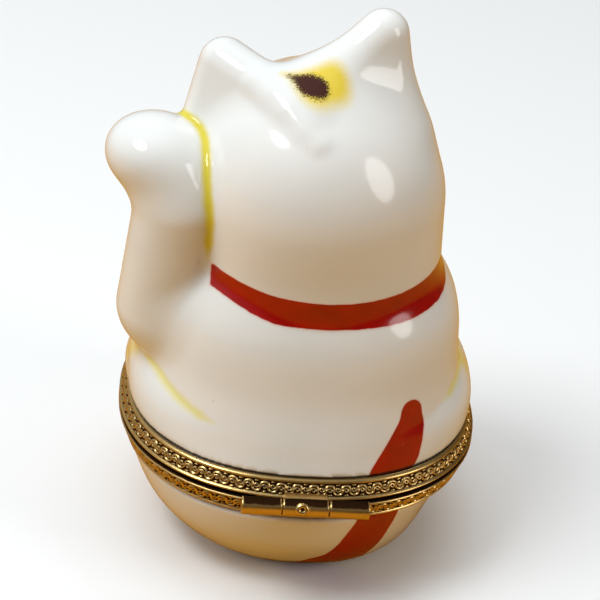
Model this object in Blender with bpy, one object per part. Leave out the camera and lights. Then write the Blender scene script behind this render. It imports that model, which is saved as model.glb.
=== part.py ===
"""Hinged porcelain box in the form of a beckoning cat, with brass mounts at its seam.

The cat sits on its foot at z = 0 and faces -Y, with its raised left paw at +X.
The upper cat is the lid. It swings back about the hinge barrel at +Y.
Sizes are in metres.
"""

import math

import bmesh
import bpy
from mathutils import Euler, Matrix, Vector

MM = 0.001

# Parting line, walls and gaps
SEAM_Z = 15.5 * MM
SEAM_GAP = 0.3 * MM
PIECE_GAP = 0.15 * MM
WALL = 2.7 * MM
FLOOR = 3.2 * MM

# Body: (height, half width, half depth, centre y, centre x), foot to neck. The bowl leans a little.
BODY_STATIONS = (
    (-4.0, 8.6, 8.8, 0.7, -2.0),
    (0.0, 13.0, 13.2, 0.6, -1.2),
    (3.0, 16.3, 16.7, 0.5, -0.4),
    (8.0, 19.2, 20.1, 0.2, 0.5),
    (15.5, 21.7, 21.6, 0.0, 0.1),
    (21.0, 20.5, 20.3, 0.1, 0.0),
    (26.0, 19.5, 18.7, 0.2, 0.0),
    (34.0, 18.2, 16.6, 0.5, 0.0),
    (41.0, 13.6, 12.8, 0.6, 0.0),
)
BODY_POWER = 2.25

# Neck and jowls: (height, radius), from inside the shoulders to inside the head
NECK_STATIONS = ((34.0, 15.4), (40.0, 15.5), (44.0, 15.3), (47.0, 14.7), (50.0, 13.4))
NECK_CENTRE_Y = 0.4 * MM

# Head, which leans towards the raised paw
HEAD_CENTRE = Vector((1.5, 0.3, 47.7)) * MM
HEAD_RADII = Vector((13.6, 15.0, 14.8)) * MM
HEAD_TURN = Euler((math.radians(2.0), math.radians(10.0), math.radians(-4.0)))

# Ears: tip, outer foot and inner foot on the head's axes, and half their thickness
LEFT_EAR = ((8.9, -2.2, 15.0), (13.2, -1.0, 4.2), (-1.2, 6.1, 10.3))
LEFT_EAR_RADIUS = 3.15 * MM
RIGHT_EAR = ((-10.25, -2.2, 17.4), (-10.6, -1.0, 6.7), (-0.9, 2.5, 11.5))
RIGHT_EAR_RADIUS = 3.05 * MM

# Raised arm
SHOULDER = Vector((17.6, 3.0, 31.0)) * MM
SHOULDER_RADIUS = 6.2 * MM
WRIST = Vector((16.95, 4.6, 45.5)) * MM
WRIST_RADIUS = 5.6 * MM
PAW_CENTRE = Vector((19.6, 2.0, 50.6)) * MM
PAW_RADII = Vector((6.8, 6.55, 5.0)) * MM
PAW_TURN = Euler((0.0, math.radians(-14.0), 0.0))

# Heights between which the body's volume is lofted, before it is cut
LID_BODY_RANGE = (5.0 * MM, 41.0 * MM)
LID_HOLLOW_RANGE = (5.0 * MM, 38.0 * MM)
BASE_BODY_RANGE = (-4.0 * MM, 30.0 * MM)

# Cutters reach this far past the porcelain
CUTTER_REACH = 14.0 * MM
CUT_BELOW_LID = -8.0 * MM
CUT_ABOVE_BASE = 36.0 * MM
FOOT_CUTTER_SIDE = 60.0 * MM
FOOT_CUTTER_DEPTH = 10.0 * MM
BASE_HOLLOW_CORNER = 4.0 * MM

# Melting the clay-like volumes together
SKIN_VOXEL = 0.6 * MM
SKIN_SMOOTHING = 5
SKIN_KEPT_SHARE = 0.07
HOLLOW_VOXEL = 1.0 * MM
HOLLOW_SMOOTHING = 4
HOLLOW_KEPT_SHARE = 0.14

# Brass bands: the porcelain fits inside this outline
FIT_HALF_X = 21.8 * MM
FIT_HALF_Y = 21.5 * MM
BAND_POWER = 2.3
BAND_FLARE = 1.0 * MM
BAND_LEAN = 0.7 * MM
BAND_THICKNESS = 0.55 * MM
LID_BAND_HEIGHT = 2.5 * MM
BASE_BAND_HEIGHT = 2.9 * MM
RIM_THICKNESS = 0.4 * MM
RIM_WIDTH = 2.5 * MM

# Hinge
HINGE_Y = FIT_HALF_Y + BAND_FLARE + 1.2 * MM
HINGE_Z = SEAM_Z + 0.2 * MM
BARREL_RADIUS = 1.1 * MM
BARREL_LENGTH = 15.4 * MM
CENTRE_KNUCKLE_LENGTH = 5.5 * MM
PIN_RADIUS = 0.5 * MM
BORE_RADIUS = 0.56 * MM

# Clasp at the front
CLASP_WIDTH = 5.0 * MM
CLASP_THICKNESS = 0.5 * MM

LID_EDGE_Z = SEAM_Z + SEAM_GAP / 2
BASE_EDGE_Z = SEAM_Z - SEAM_GAP / 2
LID_CUT_Z = LID_EDGE_Z + RIM_THICKNESS + PIECE_GAP
BASE_CUT_Z = BASE_EDGE_Z - RIM_THICKNESS - PIECE_GAP
LID_BAND_TOP_Z = LID_EDGE_Z + LID_BAND_HEIGHT
BASE_BAND_BOTTOM_Z = BASE_EDGE_Z - BASE_BAND_HEIGHT
HINGE_POINT = Vector((0.0, HINGE_Y, HINGE_Z))

RING_SIDES = 64
BODY_SIDES = 48
ROUND_SIDES = 16


# Scene and materials

def clear_scene():
    for old in list(bpy.data.objects):
        bpy.data.objects.remove(old)


def make_material(name, colour, roughness, metallic):
    material = bpy.data.materials.new(name)
    material.use_nodes = True
    shader = material.node_tree.nodes["Principled BSDF"]
    shader.inputs["Base Color"].default_value = (*colour, 1.0)
    shader.inputs["Roughness"].default_value = roughness
    shader.inputs["Metallic"].default_value = metallic
    return material


def make_empty(name, place):
    empty = bpy.data.objects.new(name, None)
    empty.location = place
    empty.empty_display_size = 5 * MM
    bpy.context.collection.objects.link(empty)
    return empty


def add_object(name, bm, material=None, parent=None):
    """Turn a closed bmesh in world space into an object whose origin is its parent's."""
    bmesh.ops.recalc_face_normals(bm, faces=bm.faces)
    mesh = bpy.data.meshes.new(name)
    bm.to_mesh(mesh)
    bm.free()
    if parent is not None:
        mesh.transform(Matrix.Translation(-parent.location))
    mesh.shade_smooth()
    mesh.set_sharp_from_angle(angle=math.radians(35))
    if material is not None:
        mesh.materials.append(material)
    piece = bpy.data.objects.new(name, mesh)
    piece.parent = parent
    bpy.context.collection.objects.link(piece)
    return piece


def add_cutter(name, bm, parent):
    cutter = add_object(name, bm, parent=parent)
    cutter.hide_render = True
    cutter.display_type = "WIRE"
    return cutter


def cut_with(piece, cutter):
    cut = piece.modifiers.new(cutter.name, "BOOLEAN")
    cut.operation = "DIFFERENCE"
    cut.solver = "EXACT"
    cut.object = cutter


def melt_together(piece, voxel, smoothing, kept_share):
    """Fuse overlapping clay-like volumes into one skin with soft creases."""
    remesh = piece.modifiers.new("fuse", "REMESH")
    remesh.mode = "VOXEL"
    remesh.voxel_size = voxel
    remesh.use_smooth_shade = True
    smooth = piece.modifiers.new("soften", "SMOOTH")
    smooth.factor = 0.5
    smooth.iterations = smoothing
    thin = piece.modifiers.new("thin out", "DECIMATE")
    thin.ratio = kept_share


# Outlines and lofts

def body_section(z):
    """Half width, half depth, centre y and centre x of the seated body at height z."""
    stations = [tuple(value * MM for value in station) for station in BODY_STATIONS]
    last = len(stations) - 2
    index = max(i for i in range(last + 1) if z >= stations[i][0] or i == 0)
    low, high = stations[index], stations[index + 1]
    before = stations[max(index - 1, 0)]
    after = stations[min(index + 2, last + 1)]
    span = high[0] - low[0]
    t = (z - low[0]) / span
    section = []
    for axis in (1, 2, 3, 4):
        slope_low = (high[axis] - before[axis]) / (high[0] - before[0])
        slope_high = (after[axis] - low[axis]) / (after[0] - low[0])
        section.append(
            (2 * t**3 - 3 * t**2 + 1) * low[axis]
            + (t**3 - 2 * t**2 + t) * span * slope_low
            + (3 * t**2 - 2 * t**3) * high[axis]
            + (t**3 - t**2) * span * slope_high
        )
    return section


def oval_ring(bm, half_x, half_y, z, power, centre_y=0.0, sides=RING_SIDES, centre_x=0.0):
    ring = []
    for step in range(sides):
        angle = 2 * math.pi * step / sides
        along, across = math.cos(angle), math.sin(angle)
        reach = (abs(along) ** power + abs(across) ** power) ** (-1 / power)
        place = (centre_x + half_x * reach * along, centre_y + half_y * reach * across, z)
        ring.append(bm.verts.new(place))
    return ring


def body_ring(bm, z, inset=0.0):
    half_x, half_y, centre_y, centre_x = body_section(z)
    wide, deep = half_x - inset, half_y - inset
    return oval_ring(bm, wide, deep, z, BODY_POWER, centre_y, BODY_SIDES, centre_x)


def bridge(bm, first, second):
    count = len(first)
    for step in range(count):
        ahead = (step + 1) % count
        bm.faces.new((first[step], first[ahead], second[ahead], second[step]))


def closed_loft(bm, rings):
    for first, second in zip(rings, rings[1:]):
        bridge(bm, first, second)
    bm.faces.new(rings[0])
    bm.faces.new(rings[-1])


def fit_ring(bm, offset, z):
    """A ring parallel to the porcelain's outline at the seam, moved out by offset."""
    return oval_ring(bm, FIT_HALF_X + offset, FIT_HALF_Y + offset, z, BAND_POWER)


def hoop(section):
    """A closed hoop round the seam from (offset, height) corners of its section."""
    bm = bmesh.new()
    rings = [fit_ring(bm, offset, z) for offset, z in section]
    for index, ring in enumerate(rings):
        bridge(bm, ring, rings[(index + 1) % len(rings)])
    return bm


# Clay-like volumes of the cat

def add_body(bm, low_z, high_z, inset=0.0, steps=18):
    rings = []
    for step in range(steps + 1):
        z = low_z + (high_z - low_z) * step / steps
        rings.append(body_ring(bm, z, inset))
    closed_loft(bm, rings)


def add_ellipsoid(bm, centre, radii, turn=None):
    place = Matrix.LocRotScale(Vector(centre), turn, Vector(radii))
    bmesh.ops.create_uvsphere(bm, u_segments=32, v_segments=20, radius=1.0, matrix=place)


def add_hull(bm, balls, place=Matrix()):
    """The convex hull of (centre, radius) balls: a rounded cone or a rounded plate."""
    cloud = bmesh.new()
    for centre, radius in balls:
        matrix = place @ Matrix.Translation(Vector(centre))
        bmesh.ops.create_icosphere(cloud, subdivisions=3, radius=radius, matrix=matrix)
    corners = [vert.co.copy() for vert in cloud.verts]
    cloud.clear()
    for corner in corners:
        cloud.verts.new(corner)
    hull = bmesh.ops.convex_hull(cloud, input=cloud.verts[:])
    inside = [item for item in hull["geom_interior"] if isinstance(item, bmesh.types.BMVert)]
    bmesh.ops.delete(cloud, geom=inside, context="VERTS")
    skin = bpy.data.meshes.new("hull")
    cloud.to_mesh(skin)
    cloud.free()
    bm.from_mesh(skin)
    bpy.data.meshes.remove(skin)


def add_haunches(bm):
    for side in (1, -1):
        add_ellipsoid(bm, Vector((side * 13.6, -4.0, 16.0)) * MM, Vector((8.9, 14.5, 8.5)) * MM)


def add_head(bm, inset=0.0):
    add_ellipsoid(bm, HEAD_CENTRE, HEAD_RADII - Vector((inset, inset, inset)), HEAD_TURN)
    rings = []
    for z, radius in NECK_STATIONS:
        reach = radius * MM - inset
        rings.append(oval_ring(bm, reach, reach, z * MM - inset, 2.0, NECK_CENTRE_Y, BODY_SIDES))
    closed_loft(bm, rings)


def add_face(bm):
    place = Matrix.LocRotScale(HEAD_CENTRE, HEAD_TURN, None)
    muzzle = place @ (Vector((0.0, -13.4, -3.6)) * MM)
    add_ellipsoid(bm, muzzle, Vector((5.4, 2.6, 3.6)) * MM, HEAD_TURN)


def add_ears(bm):
    place = Matrix.LocRotScale(HEAD_CENTRE, HEAD_TURN, None)
    for corners, radius in ((LEFT_EAR, LEFT_EAR_RADIUS), (RIGHT_EAR, RIGHT_EAR_RADIUS)):
        add_hull(bm, [(Vector(corner) * MM, radius) for corner in corners], place)


def add_raised_arm(bm):
    add_ellipsoid(bm, Vector((13.2, 0.8, 31.0)) * MM, Vector((9.6, 10.0, 10.0)) * MM)
    add_hull(bm, [(SHOULDER, SHOULDER_RADIUS), (WRIST, WRIST_RADIUS)])
    add_ellipsoid(bm, PAW_CENTRE, PAW_RADII, PAW_TURN)


def add_resting_arm(bm):
    shoulder, paw = Vector((-12.4, -8.0, 31.5)) * MM, Vector((-8.0, -16.0, 24.5)) * MM
    add_hull(bm, [(shoulder, 5.0 * MM), (paw, 4.3 * MM)])


def add_bell(bm):
    add_ellipsoid(bm, Vector((0.0, -16.2, 36.6)) * MM, Vector((2.7, 2.7, 2.7)) * MM)


def add_feet(bm):
    for side in (1, -1):
        add_ellipsoid(bm, Vector((side * 8.6, -15.4, 4.0)) * MM, Vector((4.8, 6.2, 4.2)) * MM)


# Porcelain

def mounting_cutter(name, parent, edge_z, shoulder_z, end_z):
    """Cuts the porcelain flat at edge_z, and back to the band's seat as far as shoulder_z."""
    bm = bmesh.new()
    far = CUTTER_REACH
    rings = [
        fit_ring(bm, far, end_z),
        fit_ring(bm, far, shoulder_z),
        fit_ring(bm, -BAND_LEAN - PIECE_GAP, shoulder_z),
        fit_ring(bm, -2 * PIECE_GAP, edge_z),
    ]
    closed_loft(bm, rings)
    return add_cutter(name, bm, parent)


def lid_porcelain(material, parent):
    bm = bmesh.new()
    add_body(bm, *LID_BODY_RANGE)
    add_haunches(bm)
    add_head(bm)
    add_face(bm)
    add_ears(bm)
    add_raised_arm(bm)
    add_resting_arm(bm)
    add_bell(bm)
    lid = add_object("lid_porcelain", bm, material, parent)
    melt_together(lid, SKIN_VOXEL, SKIN_SMOOTHING, SKIN_KEPT_SHARE)

    hollow_bm = bmesh.new()
    add_body(hollow_bm, *LID_HOLLOW_RANGE, inset=WALL)
    add_head(hollow_bm, inset=WALL)
    hollow = add_cutter("lid_hollow", hollow_bm, parent)
    melt_together(hollow, HOLLOW_VOXEL, HOLLOW_SMOOTHING, HOLLOW_KEPT_SHARE)

    shoulder_z = LID_BAND_TOP_Z + PIECE_GAP
    mounting = mounting_cutter("lid_mounting", parent, LID_CUT_Z, shoulder_z, CUT_BELOW_LID)
    cut_with(lid, mounting)
    cut_with(lid, hollow)


def base_porcelain(material, parent):
    bm = bmesh.new()
    add_body(bm, *BASE_BODY_RANGE)
    add_haunches(bm)
    add_feet(bm)
    base = add_object("base_porcelain", bm, material, parent)
    melt_together(base, SKIN_VOXEL, SKIN_SMOOTHING, SKIN_KEPT_SHARE)

    hollow_bm = bmesh.new()
    corner = BASE_HOLLOW_CORNER
    corner_steps = 4
    rings = []
    for step in range(corner_steps + 1):
        angle = math.pi / 2 * step / corner_steps
        z = FLOOR + corner * (1 - math.cos(angle))
        rings.append(body_ring(hollow_bm, z, WALL + corner * (1 - math.sin(angle))))
    for z in (12 * MM, SEAM_Z, 20 * MM):
        rings.append(body_ring(hollow_bm, z, WALL))
    closed_loft(hollow_bm, rings)
    hollow = add_cutter("base_hollow", hollow_bm, parent)

    foot_bm = bmesh.new()
    under = FOOT_CUTTER_DEPTH
    sides = FOOT_CUTTER_SIDE
    block = Matrix.LocRotScale(Vector((0, 0, -under / 2)), None, Vector((sides, sides, under)))
    bmesh.ops.create_cube(foot_bm, size=1.0, matrix=block)
    foot = add_cutter("foot_plane", foot_bm, parent)

    shoulder_z = BASE_BAND_BOTTOM_Z - PIECE_GAP
    mounting = mounting_cutter("base_mounting", parent, BASE_CUT_Z, shoulder_z, CUT_ABOVE_BASE)
    cut_with(base, foot)
    cut_with(base, mounting)
    cut_with(base, hollow)


# Brass

def band(name, material, parent, edge_z, height):
    """A strip flared towards the seam, with a bead at each edge. Height is signed."""
    towards = math.copysign(1.0, height)
    bead = 0.4 * MM * towards
    far_z = edge_z + height
    far_face = BAND_THICKNESS - BAND_LEAN
    recess = 0.15 * MM
    section = [
        (0.0, edge_z),
        (BAND_FLARE, edge_z),
        (BAND_FLARE, edge_z + bead),
        (BAND_FLARE - 2 * recess, edge_z + bead * 1.4),
        (far_face, far_z - bead * 1.4),
        (far_face + recess, far_z - bead),
        (far_face, far_z),
        (-BAND_LEAN, far_z),
    ]
    add_object(name, hoop(section), material, parent)


def rim(name, material, parent, low_z):
    """A flat ring that covers the porcelain's cut edge."""
    outer = -2 * PIECE_GAP
    section = [
        (outer - RIM_WIDTH, low_z),
        (outer, low_z),
        (outer, low_z + RIM_THICKNESS),
        (outer - RIM_WIDTH, low_z + RIM_THICKNESS),
    ]
    add_object(name, hoop(section), material, parent)


def add_rod(bm, radius, length, centre):
    turn = Matrix.Rotation(math.pi / 2, 4, "Y")
    place = Matrix.Translation(centre) @ turn
    bmesh.ops.create_cone(
        bm,
        cap_ends=True,
        segments=ROUND_SIDES,
        radius1=radius,
        radius2=radius,
        depth=length,
        matrix=place,
    )


def extrude_outline(bm, outline, centre_x, width):
    """A flat outline of (y, z) corners made solid along X."""
    low = centre_x - width / 2
    first = [bm.verts.new((low, y, z)) for y, z in outline]
    second = [bm.verts.new((low + width, y, z)) for y, z in outline]
    closed_loft(bm, [first, second])


def barrel_arc(start, end):
    """Corners round the hinge barrel, from one angle in degrees to another."""
    steps = 15
    arc = []
    for step in range(steps + 1):
        angle = math.radians(start + (end - start) * step / steps)
        arc.append((BARREL_RADIUS * math.cos(angle), BARREL_RADIUS * math.sin(angle)))
    return arc


def knuckle(name, material, parent, outline, centre_x, length, cutters):
    """A barrel with the web that joins it to its band, outlined about the hinge axis."""
    bm = bmesh.new()
    placed = [(HINGE_Y + y, HINGE_Z + z) for y, z in outline]
    extrude_outline(bm, placed, centre_x, length)
    piece = add_object(name, bm, material, parent)
    for cutter in cutters:
        cut_with(piece, cutter)


def hinge(material, lid, base):
    bore_bm = bmesh.new()
    add_rod(bore_bm, BORE_RADIUS, BARREL_LENGTH * 1.5, HINGE_POINT)
    bore = add_cutter("hinge_bore", bore_bm, base)

    narrow = BAND_THICKNESS - BAND_LEAN + PIECE_GAP
    wide = BAND_FLARE + PIECE_GAP
    clear_bm = bmesh.new()
    rings = [
        fit_ring(clear_bm, narrow, BASE_BAND_BOTTOM_Z),
        fit_ring(clear_bm, wide, BASE_EDGE_Z),
        fit_ring(clear_bm, wide, LID_EDGE_Z),
        fit_ring(clear_bm, narrow, LID_BAND_TOP_Z),
    ]
    closed_loft(clear_bm, rings)
    clearance = add_cutter("hinge_clearance", clear_bm, base)
    cutters = (bore, clearance)

    inward = -2.6 * BARREL_RADIUS
    web_low = 0.2 * MM
    web_high = BARREL_RADIUS
    low_angle = math.degrees(math.asin(web_low / BARREL_RADIUS))
    lid_outline = barrel_arc(low_angle - 180, 90)
    lid_outline += [(inward, web_high), (inward, web_low)]
    knuckle("lid_hinge_knuckle", material, lid, lid_outline, 0.0, CENTRE_KNUCKLE_LENGTH, cutters)

    drop = PIECE_GAP + SEAM_GAP
    high_angle = math.degrees(math.asin(drop / BARREL_RADIUS))
    base_outline = barrel_arc(180 + high_angle, -90)
    base_outline += [(inward, -web_high), (inward, -drop)]
    outer_start = CENTRE_KNUCKLE_LENGTH / 2 + PIECE_GAP
    outer_length = BARREL_LENGTH / 2 - outer_start
    outer_centre = outer_start + outer_length / 2
    for side, word in ((1, "left"), (-1, "right")):
        name = f"base_hinge_knuckle_{word}"
        knuckle(name, material, base, base_outline, side * outer_centre, outer_length, cutters)

    pin_bm = bmesh.new()
    add_rod(pin_bm, PIN_RADIUS, BARREL_LENGTH + 0.2 * MM, HINGE_POINT)
    add_object("hinge_pin", pin_bm, material, base)


def clasp(material, lid, base):
    """A sprung tongue on the lid lies over a bead on the base."""
    seam_face = -(FIT_HALF_Y + BAND_FLARE + PIECE_GAP)
    top_face = -(FIT_HALF_Y + BAND_THICKNESS - BAND_LEAN + 2 * PIECE_GAP)
    step_out = 0.35 * MM
    lip = 0.7 * MM
    inner_side = [
        (top_face, LID_BAND_TOP_Z - 0.3 * MM),
        (seam_face, LID_EDGE_Z + 0.4 * MM),
        (seam_face - step_out, BASE_EDGE_Z - 0.2 * MM),
        (seam_face - step_out, BASE_BAND_BOTTOM_Z + 1.0 * MM),
        (seam_face - step_out - lip, BASE_BAND_BOTTOM_Z + 0.3 * MM),
    ]
    outer_side = [(y - CLASP_THICKNESS, z + 0.1 * MM) for y, z in reversed(inner_side)]
    tongue_bm = bmesh.new()
    extrude_outline(tongue_bm, inner_side + outer_side, 0.0, CLASP_WIDTH)
    add_object("lid_clasp", tongue_bm, material, lid)

    bead_bm = bmesh.new()
    bead_radius = 0.25 * MM
    bead_y = seam_face + bead_radius - step_out + PIECE_GAP
    bead_z = BASE_EDGE_Z - 1.2 * MM
    add_rod(bead_bm, bead_radius, CLASP_WIDTH * 0.6, Vector((0.0, bead_y, bead_z)))
    add_object("base_clasp_catch", bead_bm, material, base)


def main():
    clear_scene()
    glaze = make_material("white_glaze", (0.86, 0.85, 0.82), 0.08, 0.0)
    brass = make_material("antique_brass", (0.60, 0.42, 0.18), 0.28, 1.0)

    base = make_empty("base", (0.0, 0.0, 0.0))
    lid = make_empty("lid_hinge_axis", HINGE_POINT)

    lid_porcelain(glaze, lid)
    base_porcelain(glaze, base)
    band("lid_band", brass, lid, LID_EDGE_Z, LID_BAND_HEIGHT)
    band("base_band", brass, base, BASE_EDGE_Z, -BASE_BAND_HEIGHT)
    rim("lid_rim", brass, lid, LID_EDGE_Z)
    rim("base_rim", brass, base, BASE_EDGE_Z - RIM_THICKNESS)
    hinge(brass, lid, base)
    clasp(brass, lid, base)


main()
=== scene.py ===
"""Studio scene of a hinged porcelain box in the form of a beckoning cat.

The cat's skins are modelled as blended volumes and meshed here, in mm, then scaled to metres.
Brass mounts are swept round the porcelain's outline, with their relief as real geometry.
Paint on the glaze is kept as distance fields on the mesh points, which the glaze's material reads.
"""

import math

import bmesh
import bpy
import numpy as np
from mathutils import Matrix, Vector

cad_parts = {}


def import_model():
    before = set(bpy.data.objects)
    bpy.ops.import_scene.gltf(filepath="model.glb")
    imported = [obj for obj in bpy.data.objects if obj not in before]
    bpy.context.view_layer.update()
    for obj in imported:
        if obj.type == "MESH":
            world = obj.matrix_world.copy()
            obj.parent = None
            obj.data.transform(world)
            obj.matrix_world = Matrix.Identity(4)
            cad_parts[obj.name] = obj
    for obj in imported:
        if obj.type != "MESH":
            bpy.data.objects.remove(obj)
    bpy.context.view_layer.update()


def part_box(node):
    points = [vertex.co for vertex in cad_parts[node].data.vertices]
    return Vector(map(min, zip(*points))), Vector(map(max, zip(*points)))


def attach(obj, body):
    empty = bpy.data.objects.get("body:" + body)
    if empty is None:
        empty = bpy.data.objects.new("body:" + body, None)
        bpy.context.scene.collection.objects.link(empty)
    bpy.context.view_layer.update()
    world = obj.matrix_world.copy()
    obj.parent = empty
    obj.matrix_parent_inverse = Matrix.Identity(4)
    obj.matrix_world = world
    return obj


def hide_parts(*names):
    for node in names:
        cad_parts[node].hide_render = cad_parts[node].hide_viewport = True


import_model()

MM = 0.001


def box_mm(node):
    low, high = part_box(node)
    return np.array(low) / MM, np.array(high) / MM


# Driving dimensions, in mm, read from the frame
LID_BAND_LOW, LID_BAND_HIGH = box_mm("lid_band")
BASE_BAND_LOW, BASE_BAND_HIGH = box_mm("base_band")
PIN_LOW, PIN_HIGH = box_mm("hinge_pin")
KNUCKLE_LOW, KNUCKLE_HIGH = box_mm("lid_hinge_knuckle")
OUTER_KNUCKLE_LOW, OUTER_KNUCKLE_HIGH = box_mm("base_hinge_knuckle_left")
TONGUE_LOW, TONGUE_HIGH = box_mm("lid_clasp")
CATCH_LOW, CATCH_HIGH = box_mm("base_clasp_catch")
LID_RIM_LOW, LID_RIM_HIGH = box_mm("lid_rim")
BASE_RIM_LOW, BASE_RIM_HIGH = box_mm("base_rim")

LID_EDGE_Z = LID_BAND_LOW[2]
LID_BAND_TOP_Z = LID_BAND_HIGH[2]
BASE_EDGE_Z = BASE_BAND_HIGH[2]
BASE_BAND_BOTTOM_Z = BASE_BAND_LOW[2]
HINGE_Y, HINGE_Z = (PIN_LOW[1:] + PIN_HIGH[1:]) / 2

# Outline of the mounts at the seam
BAND_FLARE = 1.0
BAND_LEAN = 0.7
BAND_POWER = 2.3
FIT_HALF = LID_BAND_HIGH[:2] - BAND_FLARE
BAND_THICKNESS = 0.55
PIECE_GAP = 0.15

# Porcelain
WALL = 2.7
FLOOR = 3.2
SKIN_CELL = 0.42

# The seated body: height, half width, half depth, centre y and centre x at each station
BODY_STATIONS = np.array([
    (-4.0, 8.6, 8.8, 0.7, -2.0),
    (0.0, 13.0, 13.2, 0.6, -1.2),
    (3.0, 16.3, 16.7, 0.5, -0.4),
    (8.0, 19.2, 20.1, 0.2, 0.5),
    (15.5, 21.7, 21.6, 0.0, 0.1),
    (21.0, 20.5, 20.3, 0.1, 0.0),
    (26.0, 19.5, 18.7, 0.2, 0.0),
    (34.0, 18.2, 16.6, 0.5, 0.0),
    (41.0, 13.6, 12.8, 0.6, 0.0),
])
BODY_POWER = 2.25
BODY_TOP_Z = 41.0
HEAD_CENTRE = np.array([1.5, 0.3, 47.7])
FAR = 9.0
TINY = 1e-9


# Distance fields: each takes points (..., 3) in mm and gives mm, below zero inside

def soft_min(a, b, blend):
    near = np.maximum(blend - np.abs(a - b), 0.0) / blend
    return np.minimum(a, b) - near * near * blend / 4


def soft_max(a, b, blend):
    return -soft_min(-a, -b, blend)


def turned(x, y, z):
    """Axes turned by x, then y, then z degrees, as columns."""
    (cx, cy, cz), (sx, sy, sz) = np.cos(np.radians([x, y, z])), np.sin(np.radians([x, y, z]))
    about_x = np.array([[1, 0, 0], [0, cx, -sx], [0, sx, cx]])
    about_y = np.array([[cy, 0, sy], [0, 1, 0], [-sy, 0, cy]])
    about_z = np.array([[cz, -sz, 0], [sz, cz, 0], [0, 0, 1]])
    return about_z @ about_y @ about_x


HEAD_AXES = turned(2.0, 10.0, -4.0)


def in_head(p):
    return (p - HEAD_CENTRE) @ HEAD_AXES


def from_head(q):
    return HEAD_CENTRE + HEAD_AXES @ np.array(q, float)


def ellipsoid(p, centre, radii, axes=None):
    q = p - np.array(centre)
    if axes is not None:
        q = q @ axes
    radii = np.array(radii, float)
    reach = np.sqrt(((q / radii) ** 2).sum(-1)) + TINY
    slope = np.sqrt(((q / radii**2) ** 2).sum(-1)) + TINY
    return reach * (reach - 1) / slope


def ellipsoid_pair(p, centre, radii):
    """Two like ellipsoids, one on each side of the cat."""
    x, y, z = centre
    return np.minimum(ellipsoid(p, (x, y, z), radii), ellipsoid(p, (-x, y, z), radii))


def strand(p, start, end, start_radius, end_radius):
    """A ball moved from start to end while its radius changes evenly."""
    start, end = np.array(start, float), np.array(end, float)
    along = end - start
    t = np.clip(((p - start) @ along) / (along @ along), 0.0, 1.0)
    radius = start_radius + (end_radius - start_radius) * t
    return np.sqrt(((p - start - t[..., None] * along) ** 2).sum(-1)) - radius


def chain(p, points, radii):
    """Strands through a row of points."""
    out = np.full(p.shape[:-1], 1e3)
    for start, end, first, second in zip(points, points[1:], radii, radii[1:]):
        out = np.minimum(out, strand(p, start, end, first, second))
    return out


def plate(p, a, b, c):
    """Distance to a flat triangle."""
    a, b, c = (np.array(corner, float) for corner in (a, b, c))
    edges = (b - a, c - b, a - c)
    offsets = (p - a, p - b, p - c)
    normal = np.cross(edges[0], edges[2])
    inside = sum(np.sign(o @ np.cross(e, normal)) for o, e in zip(offsets, edges))
    rims = []
    for offset, edge in zip(offsets, edges):
        t = np.clip((offset @ edge) / (edge @ edge), 0.0, 1.0)
        rims.append(((offset - t[..., None] * edge) ** 2).sum(-1))
    flat = (offsets[0] @ normal) ** 2 / (normal @ normal)
    return np.sqrt(np.where(np.abs(inside) > 2.0, flat, np.minimum.reduce(rims)))


def body_section(z):
    """Half width, half depth, centre y and centre x of the seated body at height z."""
    heights = BODY_STATIONS[:, 0]
    last = len(heights) - 2
    index = np.clip(np.searchsorted(heights, z, side="right") - 1, 0, last)
    low, high = BODY_STATIONS[index], BODY_STATIONS[index + 1]
    before = BODY_STATIONS[np.maximum(index - 1, 0)]
    after = BODY_STATIONS[np.minimum(index + 2, last + 1)]
    span = (high - low)[..., :1]
    t = ((z - low[..., 0]) / span[..., 0])[..., None]
    slope_low = (high - before) / (high - before)[..., :1]
    slope_high = (after - low) / (after - low)[..., :1]
    section = (
        (2 * t**3 - 3 * t**2 + 1) * low
        + (t**3 - 2 * t**2 + t) * span * slope_low
        + (3 * t**2 - 2 * t**3) * high
        + (t**3 - t**2) * span * slope_high
    )
    return np.moveaxis(section[..., 1:], -1, 0)


def body(p, top=BODY_TOP_Z):
    heights = np.clip(p[..., 2], BODY_STATIONS[0, 0], top)
    half_x, half_y, centre_y, centre_x = body_section(heights)
    across = np.abs(p[..., 0] - centre_x) / half_x
    along = np.abs(p[..., 1] - centre_y) / half_y
    reach = (across**BODY_POWER + along**BODY_POWER) ** (1 / BODY_POWER)
    side = (reach - 1) * np.minimum(half_x, half_y) * 0.92
    return soft_max(side, p[..., 2] - top, 1.0)


def haunches(p):
    return ellipsoid_pair(p, (13.6, -4.0, 16.0), (8.9, 14.5, 8.5))


def head_ball(p):
    ball = ellipsoid(p, HEAD_CENTRE, (13.6, 15.0, 14.8), HEAD_AXES)
    neck = strand(p, (-0.2, 0.5, 38.5), (-0.1, 0.4, 46.0), 15.55, 15.2)
    neck = soft_max(neck, 36.0 - p[..., 2], 1.0)
    return soft_min(ball, neck, 3.0)


LEFT_EAR = ((8.9, -2.2, 15.0), (13.2, -1.0, 4.2), (-1.2, 6.1, 10.3))
LEFT_EAR_RADIUS = 3.15
RIGHT_EAR = ((-10.25, -2.2, 17.4), (-10.6, -1.0, 6.7), (-0.9, 2.5, 11.5))
RIGHT_EAR_RADIUS = 3.05

# A fold in the clay from the left ear down the back of the head
EAR_FOLD = (
    (8.6, 2.4, 60.9), (6.9, 4.8, 60.4), (5.4, 6.9, 59.7), (3.3, 9.1, 58.3), (1.9, 10.3, 57.4),
)
EAR_FOLD_RADII = (1.45, 1.60, 1.60, 1.50, 1.25)


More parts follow.
